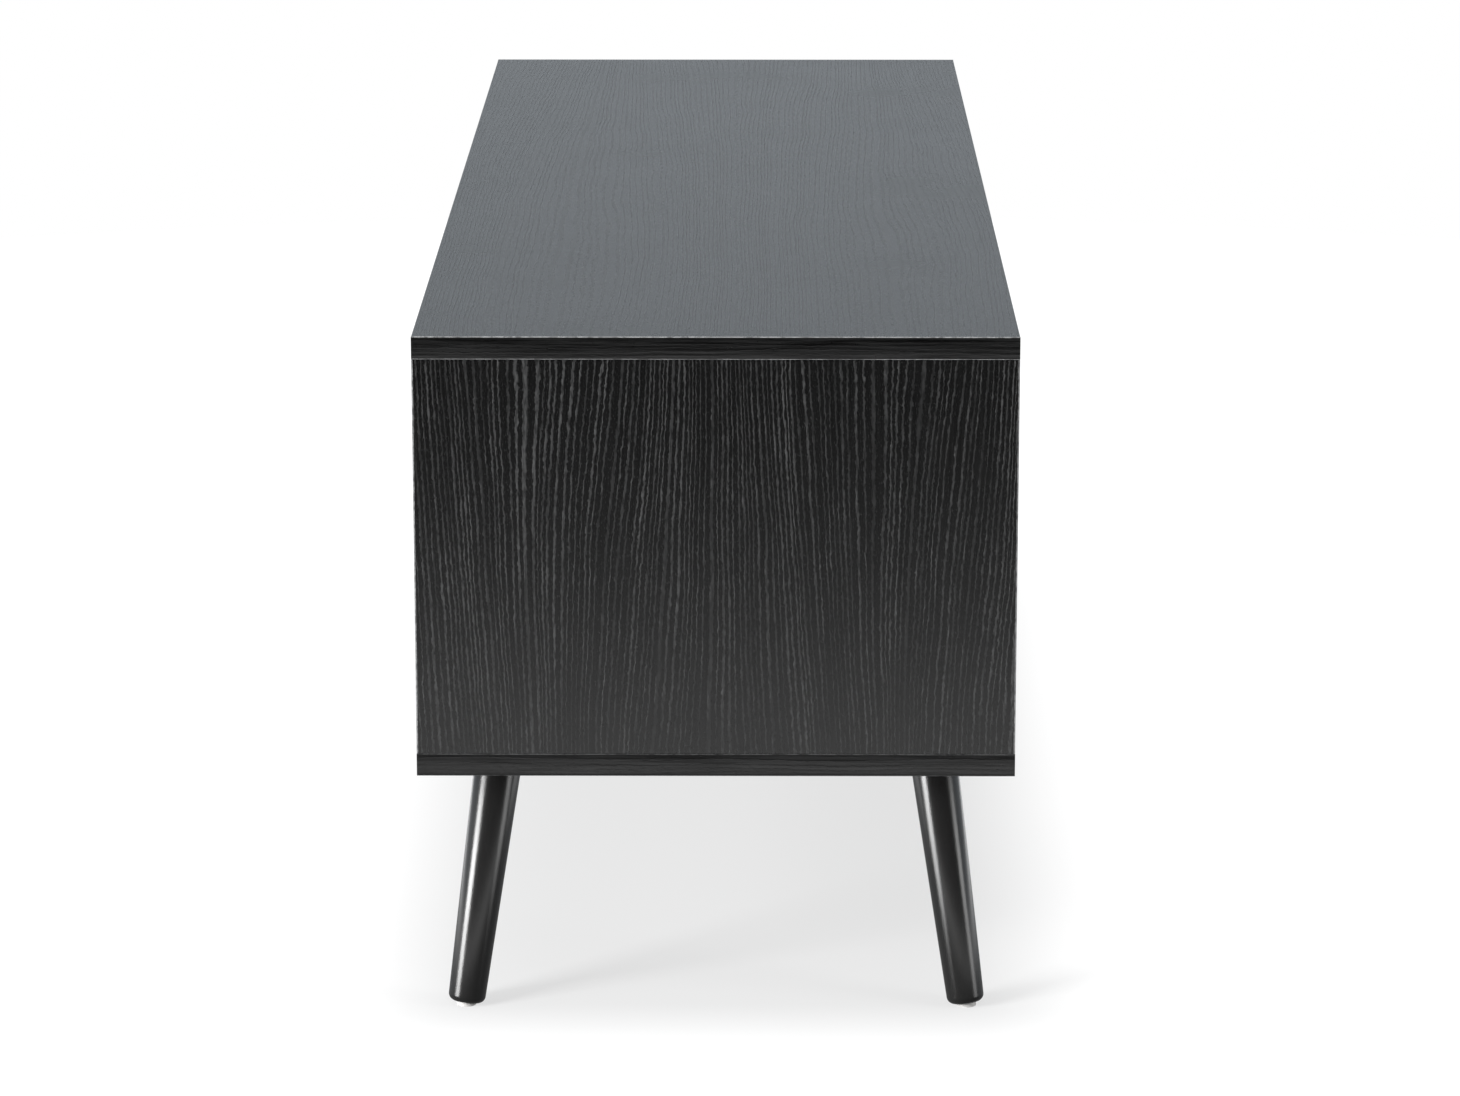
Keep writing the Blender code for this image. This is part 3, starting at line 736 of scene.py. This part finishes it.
# The top's pale lines are painted darker than on the other boards, as painted shade on the top.
PAINTED_SHADE_TOP_LINE = grey(0.020, -0.01)
for word, node in (("top", "top_panel"), ("bottom", "bottom_panel")):
    low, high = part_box(node)
    spot = SHEET_SPOTS[word]
    core = make_core(f"{word}_board", node, "xy")
    name = f"{word}_board_face"
    face = board_finish(name, "xyz", spot, lean=0.035, line=PAINTED_SHADE_TOP_LINE, relief=1.4, matt=0.05)
    dress(core, face, "carcass")
    # The painted highlight on the end bands' corners is full on the top and faint on the bottom.
    edge_highlight = 1.0 if word == "top" else 0.25
    for side, sign in (("right", 1), ("left", -1)):
        band = make_band(f"{word}_end_band_{side}", node, "x", sign)
        place = (0.7 * sign, 0.21, spot[0])
        finish = band_finish(band.name, "yzx", place, low.z, high.z, "z", edge_highlight)
        dress(band, finish, "carcass")
    for side, sign in (("back", 1), ("front", -1)):
        band = make_band(f"{word}_long_band_{side}", node, "y", sign, "x")
        place = (1.9 * sign, 0.11, spot[1])
        # The long bands carry only a trace of the painted highlight.
        finish = band_finish(band.name, "xzy", place, low.z, high.z, "z", 0.1, 0.12)
        dress(band, finish, "carcass")
print("top board:", [round(v, 4) for v in high - low])

# %% [markdown]
# The end boards stand on edge, and their grain stands with them. Only their front and rear edges
# are banded, because the top and the bottom cover the other two.

# %% End boards
for side, sign in (("right", 1), ("left", -1)):
    node = f"side_panel_{side}"
    low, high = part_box(node)
    core = make_core(f"end_board_{side}", node, "y")
    middle_height = (low.z + high.z) / 2
    spot = (-middle_height + 0.03, 0.0, 0.3) if sign > 0 else (-middle_height, 0.93, 0.7)
    face = board_finish(f"end_board_{side}_face", "zyx", spot)
    dress(core, face, "carcass")
    for edge, y_sign in (("back", 1), ("front", -1)):
        band = make_band(f"end_board_band_{side}_{edge}", node, "y", y_sign)
        place = (0.5 * sign, 0.4, 0.2 * y_sign)
        # The end boards' bands carry most of the painted highlight.
        finish = band_finish(band.name, "zxy", place, low.x, high.x, "x", 0.7)
        dress(band, finish, "carcass")
print("end board:", [round(v, 4) for v in high - low])

# %% [markdown]
# The divider between the two columns of drawers wears the same sheet. Its solid has the right
# shape already, so only its surface changes.

# %% Divider
divider_face = board_finish("divider_face", "zyx", (0.9, 0.5, 0.1))
paint(NODES["centre_divider"], divider_face)
print("divider:", divider_face.name)

# %% [markdown]
# ## The drawer fronts
#
# A front is cut from the same board, with the grain lying along it, and a notch in its top edge
# takes the fingers. The notch is cut with a block whose lower corners are already round. The two
# corners that the cut leaves at the top are then rounded in edit mode, and a last bevel softens
# every arris. Smooth shading would bend the light on the large flat face next to those bevels,
# so the normals are weighted by area, which keeps the face flat.

# %% Notch measured from the solid
NOTCH_FLOOR_ROUND = 0.012
NOTCH_LIP_ROUND = 0.005
FRONT_ARRIS = 0.0009
CLEAR = 0.01  # a cutting tool passes this far beyond the piece


def notch_of(node):
    """The notch's left, right and floor, read from the front's own corners."""
    low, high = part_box(node)
    points = np.array([v.co for v in NODES[node].data.vertices])
    inner = points[(points[:, 2] < high.z - 0.010) & (points[:, 2] > low.z + 0.010)]
    inner = inner[(inner[:, 0] > low.x + 0.05) & (inner[:, 0] < high.x - 0.05)]
    return inner[:, 0].min(), inner[:, 0].max(), inner[:, 2].min()


def make_front(word):
    node = f"{word}_front"
    low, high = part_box(node)
    left, right, floor_height = notch_of(node)
    front = add_block(f"{word}_drawer_front", low, high)
    tool = add_block(
        "notch_tool",
        (left, low.y - CLEAR, floor_height),
        (right, high.y + CLEAR, high.z + CLEAR),
    )
    round_edges(
        tool,
        lambda e: abs(direction(e).y) > 0.9 and middle(e).z < floor_height + 0.001,
        NOTCH_FLOOR_ROUND,
        10,
    )
    carve(front, tool)

    def lip(edge):
        at_top = middle(edge).z > high.z - 0.0005
        inside = low.x + 0.01 < middle(edge).x < high.x - 0.01
        return at_top and inside and abs(direction(edge).y) > 0.9

    round_edges(front, lip, NOTCH_LIP_ROUND, 6)
    sheet_low, sheet_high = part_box(f"{word}_bottom_sheet")
    room = Vector((GROOVE_ROOM,) * 3)
    carve(front, add_block("groove_tool", sheet_low - room, sheet_high + room))
    soft = front.modifiers.new("soft_arrises", "BEVEL")
    soft.width = FRONT_ARRIS
    soft.segments = 3
    soft.limit_method = "ANGLE"
    soft.angle_limit = math.radians(40)
    apply_modifier(front, soft)
    smooth(front)
    flat = front.modifiers.new("flat_faces", "WEIGHTED_NORMAL")
    flat.keep_sharp = True
    apply_modifier(front, flat)
    return front, low, high


for number, word in enumerate(DRAWERS):
    front, low, high = make_front(word)
    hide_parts(f"{word}_front")
    row, column = divmod(number, 2)
    spot = (3.1 + 1.7 * row, 0.09 - 0.16 * row + 0.35 * column, 0.6 * column)
    face = board_finish(f"{word}_front_face", "xzy", spot, lean=0.028)
    dress(front, face, f"drawer_{word}")
print("front:", [round(v, 4) for v in high - low], "faces:", len(front.data.polygons))

# %% [markdown]
# ## The legs
#
# The legs lean out to the corners. A leg is easiest to turn upright, as a lathe does: a cylinder
# whose foot is scaled in and whose rims are bevelled. Its axis and its radii are read from the
# solid, and the finished leg is then laid along that axis.


# %% Axis of a round solid
def axis_of(node):
    """A round solid's axis: a point on it, its downward direction, and the ends along it."""
    points = np.array([v.co for v in NODES[node].data.vertices])
    centre = points.mean(axis=0)
    axis = np.linalg.svd(points - centre, full_matrices=False)[2][0]
    axis = axis * -np.sign(axis[2])
    along = (points - centre) @ axis
    out = np.linalg.norm(points - centre - np.outer(along, axis), axis=1)
    return Vector(centre), Vector(axis), along, out


LEG_FOOT_ROUND = 0.0045
LEG_TOP_ROUND = 0.0008
LEG_SIDES = 96


def make_leg(corner):
    node = f"leg_{corner}"
    centre, axis, along, out = axis_of(node)
    top, foot = along.min(), along.max()
    top_radius = out.max()
    near_foot = out[along > foot - LEG_FOOT_ROUND * 1.2]
    foot_radius = near_foot.max()
    length = foot - top
    clear_selection()
    bpy.ops.mesh.primitive_cylinder_add(
        vertices=LEG_SIDES, radius=top_radius, depth=length, location=(0, 0, -length / 2)
    )
    leg = settle(bpy.context.object, f"turned_leg_{corner}")
    mesh = edit(leg, "FACE")
    pick(leg, mesh, mesh.faces, lambda f: f.normal.z < -0.9)
    share = foot_radius / top_radius
    bpy.ops.transform.resize(value=(share, share, 1), center_override=(0, 0, -length))
    leave_edit()
    round_edges(
        leg,
        lambda e: abs(middle(e).z + length) < 1e-5,
        LEG_FOOT_ROUND,
        8,
    )
    round_edges(leg, lambda e: abs(middle(e).z) < 1e-5, LEG_TOP_ROUND)
    smooth(leg)
    turn = Vector((0, 0, -1)).rotation_difference(axis).to_matrix().to_4x4()
    leg.data.transform(Matrix.Translation(centre + axis * top) @ turn)
    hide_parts(node)
    return leg, length, top_radius, foot_radius


# %% [markdown]
# The lacquer on the legs is smooth and dark. A trace of the wood's grain and a fine orange peel
# break up the long highlights on it.

# %% Leg lacquer
def lacquer_finish(name, axis_spot):
    """Satin black lacquer over turned wood: fine orange peel, and a trace of the grain below it."""
    made, tree, shader = new_material(name)
    place = grain_place(tree, "zxy", axis_spot)
    parts = tree.nodes.new("ShaderNodeSeparateXYZ")
    tree.links.new(place, parts.inputs[0])
    stretched = vector(
        tree, calc(tree, "MULTIPLY", parts.outputs[0], 0.035), parts.outputs[1], parts.outputs[2]
    )
    grain = noise(tree, stretched, 900.0, 3.0, 0.55)
    peel = noise(tree, place, 850.0, 2.0, 0.5)
    cloud = noise(tree, place, 22.0, 3.0, 0.6)
    colour = blend_colours(tree, grain, grey(0.0055, 0.01), grey(0.0095, 0.01))
    feed(tree, shader.inputs["Base Color"], colour)
    feed(tree, shader.inputs["Roughness"], calc(tree, "MULTIPLY_ADD", cloud, 0.06, 0.20))
    height = calc(tree, "MULTIPLY_ADD", peel, 0.6, grain)
    feed(tree, shader.inputs["Normal"], bump(tree, height, 0.00006, 0.5))
    shader.inputs["Specular IOR Level"].default_value = 0.42
    return made


leg_lacquer = lacquer_finish("satin_black_lacquer", (0.3, 0.1, 0.2))
for corner in CORNERS:
    leg, length, top_radius, foot_radius = make_leg(corner)
    dress(leg, leg_lacquer, "carcass")
    leg_light.objects.link(leg)
print(
    "leg length, top and foot radius in mm:",
    round(length * 1000, 1),
    round(top_radius * 1000, 1),
    round(foot_radius * 1000, 1),
)

# %% [markdown]
# ## What the solids still need
#
# The other solids have the right shape already, so they keep it and get their real surface:
# hardboard with its fine fibres, drawer boxes wrapped in a linen-look foil, runners in white
# enamel, powder-coated plates, zinc bolts and felt pads.


# %% Finishes for the solids
def hardboard_finish():
    made, tree, shader = new_material("black_hardboard")
    place = grain_place(tree, "xzy", (0, 0, 0))
    fibre = noise(tree, place, 900.0, 4.0, 0.7)
    cloud = noise(tree, place, 14.0, 4.0, 0.6)
    mixed = calc(tree, "MULTIPLY_ADD", fibre, 0.7, calc(tree, "MULTIPLY", cloud, 0.3))
    colour = blend_colours(tree, mixed, grey(0.012, 0.03), grey(0.038, 0.03))
    feed(tree, shader.inputs["Base Color"], colour)
    feed(tree, shader.inputs["Roughness"], calc(tree, "MULTIPLY_ADD", cloud, 0.15, 0.60))
    feed(tree, shader.inputs["Normal"], bump(tree, fibre, 0.00012, 0.6))
    return made


def foil_finish():
    """Grey drawer foil with a printed linen weave."""
    made, tree, shader = new_material("grey_linen_foil")
    place = grain_place(tree, "xyz", (0, 0, 0))
    parts = tree.nodes.new("ShaderNodeSeparateXYZ")
    tree.links.new(place, parts.inputs[0])
    x, y, z = parts.outputs
    threads = []
    for first, second in ((60, 1500), (1500, 60)):
        spun = vector(
            tree,
            calc(tree, "MULTIPLY", calc(tree, "ADD", x, y), first),
            calc(tree, "MULTIPLY", z, second),
            calc(tree, "MULTIPLY", calc(tree, "SUBTRACT", x, y), first),
        )
        threads.append(noise(tree, spun, 1.0, 2.0, 0.5))
    weave = calc(tree, "MULTIPLY", calc(tree, "ADD", *threads), 0.5)
    cloud = noise(tree, place, 11.0, 3.0, 0.6)
    mixed = step(tree, weave, 0.36, 0.64)
    colour = blend_colours(tree, mixed, grey(0.17, 0.03), grey(0.26, 0.03))
    feed(tree, shader.inputs["Base Color"], colour)
    feed(tree, shader.inputs["Roughness"], calc(tree, "MULTIPLY_ADD", cloud, 0.12, 0.50))
    feed(tree, shader.inputs["Normal"], bump(tree, weave, 0.00008, 0.5))
    return made


def enamel_finish(name, dark, pale, roughness):
    made, tree, shader = new_material(name)
    place = grain_place(tree, "xyz", (0, 0, 0))
    peel = noise(tree, place, 700.0, 2.0, 0.5)
    cloud = noise(tree, place, 30.0, 4.0, 0.65)
    feed(tree, shader.inputs["Base Color"], blend_colours(tree, cloud, dark, pale))
    feed(tree, shader.inputs["Roughness"], calc(tree, "MULTIPLY_ADD", cloud, 0.12, roughness))
    feed(tree, shader.inputs["Normal"], bump(tree, peel, 0.00005, 0.4))
    return made


def zinc_finish():
    made, tree, shader = new_material("bright_zinc")
    place = grain_place(tree, "xyz", (0, 0, 0))
    cloud = noise(tree, place, 320.0, 3.0, 0.6)
    colour = blend_colours(tree, cloud, grey(0.42, -0.02), grey(0.68, -0.02))
    feed(tree, shader.inputs["Base Color"], colour)
    feed(tree, shader.inputs["Roughness"], calc(tree, "MULTIPLY_ADD", cloud, 0.2, 0.22))
    shader.inputs["Metallic"].default_value = 1.0
    return made


def felt_finish():
    made, tree, shader = new_material("pale_felt")
    place = grain_place(tree, "xyz", (0, 0, 0))
    fuzz = noise(tree, place, 2400.0, 4.0, 0.75)
    colour = blend_colours(tree, fuzz, grey(0.42, 0.02), grey(0.78, 0.02))
    feed(tree, shader.inputs["Base Color"], colour)
    shader.inputs["Roughness"].default_value = 0.95
    shader.inputs["Sheen Weight"].default_value = 0.4
    feed(tree, shader.inputs["Normal"], bump(tree, fuzz, 0.0003, 0.8))
    return made


hardboard = hardboard_finish()
foil = foil_finish()
runner_enamel = enamel_finish("white_runner_enamel", grey(0.62, 0.01), grey(0.72, 0.01), 0.34)
plate_powder = enamel_finish("black_powder_coat", grey(0.012), grey(0.022), 0.42)
zinc = zinc_finish()
felt = felt_finish()

FINISH_BY_SLOT = {
    "back_sheet": hardboard,
    "drawer_foil": foil,
    "runner": runner_enamel,
    "plate": plate_powder,
    "bolt": zinc,
    "pad": felt,
}
for part in frame["record"]["subparts"]:
    finish = FINISH_BY_SLOT.get(part["material_slot"])
    if finish:
        paint(NODES[part["node"]], finish)
print("finishes on the solids:", len(FINISH_BY_SLOT))

# %% [markdown]
# ## The rollers
#
# Each runner has two nylon wheels. One is riveted to the front end of the channel, and the
# drawer's rail runs over it. The other is riveted to the rear end of the rail and runs inside
# the channel. Their size is the room between the channel's flange and the rail, less a hair of
# play. A wheel is a cylinder whose ends are dished with an inset and whose rims are rounded.

# %% Roller and rivet
STEEL = 0.0012
ROLLER_PLAY = 0.0003
ROLLER_WIDTH = 0.0052
ROLLER_RIM, ROLLER_DISH = 0.0016, 0.0006
ROLLER_ROUND = 0.0006
ROLLER_SET_BACK = 0.009
CABINET_STANDOFF, DRAWER_STANDOFF = 0.0008, 0.0015
RIVET_RADIUS = 0.0024
RIVET_HEAD = 0.0005
SEAM = 0.0003


def add_drum(name, radius, length, sides=48):
    """A cylinder that starts at the origin and runs along X."""
    clear_selection()
    bpy.ops.mesh.primitive_cylinder_add(
        vertices=sides,
        radius=radius,
        depth=length,
        location=(length / 2, 0, 0),
        rotation=(0, math.radians(90), 0),
    )
    return settle(bpy.context.object, name)


def make_roller(radius):
    roller = add_drum("nylon_roller", radius, ROLLER_WIDTH)
    mesh = edit(roller)
    pick(roller, mesh, mesh.faces, lambda f: abs(f.normal.x) > 0.9)
    bpy.ops.mesh.inset(thickness=ROLLER_RIM, depth=-ROLLER_DISH)
    leave_edit()

    def outer_rim(edge):
        out = Vector((0, edge.verts[0].co.y, edge.verts[0].co.z)).length
        return out > radius * 0.98 and abs(direction(edge).x) < 0.1

    round_edges(roller, outer_rim, ROLLER_ROUND)
    smooth(roller)
    return roller


def make_rivet(length):
    rivet = add_drum("roller_rivet", RIVET_RADIUS, length, 32)
    round_edges(rivet, lambda e: middle(e).x > length - 1e-5, RIVET_HEAD * 0.9, 4)
    smooth(rivet)
    return rivet


def facing(place, into_bay):
    """Lays a piece drawn along X at a place, turned to point into the bay or out of it."""
    turn = Matrix.Rotation(0 if into_bay > 0 else math.pi, 4, "Z")
    return Matrix.Translation(place) @ turn


def measure_runner(word, hand):
    """The boxes of a channel and its rail, the way into the bay, the channel's web, the side of
    the drawer box and the height of the screws and wheels."""
    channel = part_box(f"{word}_runner_channel_{hand}")
    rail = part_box(f"{word}_runner_rail_{hand}")
    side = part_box(f"{word}_box_side_{hand}")
    into_bay = 1 if hand == "left" else -1
    near = 0 if into_bay > 0 else 1
    web = channel[near].x + into_bay * STEEL
    height = (channel[0].z + rail[1].z) / 2
    return channel, rail, into_bay, web, side[near].x, height


# %% [markdown]
# The wheels and rivets are drawn once, at the size that the first runner asks for, and every
# runner gets copies. The front wheel stays with the carcass, and the rear one rides on its drawer.

# %% Rollers on every runner
nylon = enamel_finish("white_nylon", grey(0.60, 0.01), grey(0.74, 0.01), 0.44)
channel, rail, into_bay, web, side_face, height = measure_runner(DRAWERS[0], HANDS[0])
rail_web = side_face - into_bay * (SEAM + STEEL)
roller = make_roller((rail[1].z - channel[0].z) / 2 - STEEL - ROLLER_PLAY)
rivet = make_rivet(CABINET_STANDOFF + ROLLER_WIDTH + RIVET_HEAD)
long_rivet = make_rivet(abs(rail_web - web) - DRAWER_STANDOFF + RIVET_HEAD)
for word in DRAWERS:
    for hand in HANDS:
        channel, rail, into_bay, web, side_face, height = measure_runner(word, hand)
        rail_web = side_face - into_bay * (SEAM + STEEL)
        front = channel[0].y + ROLLER_SET_BACK
        rear = rail[1].y - ROLLER_SET_BACK
        wheel_at = web + into_bay * CABINET_STANDOFF
        drawer_wheel_at = web + into_bay * DRAWER_STANDOFF
        made = (
            (roller, "cabinet_roller", (wheel_at, front, height), into_bay, "carcass"),
            (rivet, "cabinet_rivet", (web, front, height), into_bay, "carcass"),
            (roller, "drawer_roller", (drawer_wheel_at, rear, height), into_bay, f"drawer_{word}"),
            (long_rivet, "drawer_rivet", (rail_web, rear, height), -into_bay, f"drawer_{word}"),
        )
        for piece, name, place, way, body in made:
            copy = repeat(piece, f"{word}_{name}_{hand}", facing(place, way))
            finish, slot = (nylon, "runner") if piece is roller else (zinc, "bolt")
            dress(copy, finish, body)
for piece in (roller, rivet, long_rivet):
    bpy.data.objects.remove(piece, do_unlink=True)
print("wheels and rivets:", len(DRAWERS) * len(HANDS) * 4)

# %% [markdown]
# ## The screws
#
# One screw is drawn and then repeated under the leg plates, inside the channels and under the
# rails. It starts as a disc. Its lower face is inset to the width of the shank and pulled down,
# its rim is rounded, and a cross is cut into the head.

# %% Screw
PLATE_SCREW = (0.0038, 0.0016, 0.0030)  # the head's radius and height, and the shank's length
RUNNER_SCREW = (0.0032, 0.0006, 0.0010)
SCREW_SHANK = 0.0017
CROSS_WIDTH = 0.0009


def make_screw(name, head, rise, depth):
    """A cross-head screw along Z: the head lies above the origin and the shank below it."""
    clear_selection()
    bpy.ops.mesh.primitive_cylinder_add(
        vertices=32, radius=head, depth=rise, location=(0, 0, rise / 2)
    )
    screw = settle(bpy.context.object, name)
    mesh = edit(screw)
    pick(screw, mesh, mesh.faces, lambda f: f.normal.z < -0.9)
    bpy.ops.mesh.inset(thickness=head - SCREW_SHANK)
    bpy.ops.mesh.extrude_region_move(TRANSFORM_OT_translate={"value": (0, 0, -depth)})
    leave_edit()
    round_edges(screw, lambda e: middle(e).z > rise - 1e-5, rise * 0.7, 4)
    arm = head * 0.58
    for x, y in ((arm, CROSS_WIDTH / 2), (CROSS_WIDTH / 2, arm)):
        carve(screw, add_block("cross_tool", (-x, -y, rise * 0.35), (x, y, rise * 2)))
    smooth(screw)
    return screw


plate_screw = make_screw("plate_screw", *PLATE_SCREW)
runner_screw = make_screw("runner_screw", *RUNNER_SCREW)
print("faces of a screw:", len(plate_screw.data.polygons))

# %% [markdown]
# Four screws hold each plate, three hold each channel and two hold each rail.

# %% Screws in their places
PLATE_THICKNESS = 0.002
PLATE_SCREW_REACH = 0.023  # from the middle of a plate, along X and along Y
CHANNEL_SCREWS = (0.048, 0.150, 0.262)  # from the front end
RAIL_SCREWS = (0.030, 0.225)
SHELF_SCREW_INSET = 0.0045

HEAD_DOWN = Matrix.Rotation(math.pi, 4, "X")
under_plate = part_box("bottom_panel")[0].z - SEAM - PLATE_THICKNESS
count = 0
for corner in CORNERS:
    plate_low, plate_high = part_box(f"leg_plate_{corner}")
    centre = (plate_low + plate_high) / 2
    for number, (x, y) in enumerate(((1, 1), (-1, 1), (-1, -1), (1, -1)), 1):
        reach = Vector((x * PLATE_SCREW_REACH, y * PLATE_SCREW_REACH, under_plate - centre.z))
        place = Matrix.Translation(centre + reach) @ HEAD_DOWN
        dress(repeat(plate_screw, f"plate_screw_{corner}_{number}", place), zinc, "carcass")
        count += 1
for word in DRAWERS:
    for hand in HANDS:
        channel, rail, into_bay, web, side_face, height = measure_runner(word, hand)
        turn = Matrix.Rotation(into_bay * math.pi / 2, 4, "Y")
        for number, y in enumerate(CHANNEL_SCREWS, 1):
            place = Vector((web, channel[0].y + y, height))
            name = f"{word}_channel_screw_{hand}_{number}"
            copy = repeat(runner_screw, name, Matrix.Translation(place) @ turn)
            dress(copy, zinc, "carcass")
            count += 1
        for number, y in enumerate(RAIL_SCREWS, 1):
            place = Vector((side_face + into_bay * SHELF_SCREW_INSET, rail[0].y + y, rail[0].z))
            name = f"{word}_rail_screw_{hand}_{number}"
            copy = repeat(runner_screw, name, Matrix.Translation(place) @ HEAD_DOWN)
            dress(copy, zinc, f"drawer_{word}")
            count += 1
for piece in (plate_screw, runner_screw):
    bpy.data.objects.remove(piece, do_unlink=True)
print("screws:", count)
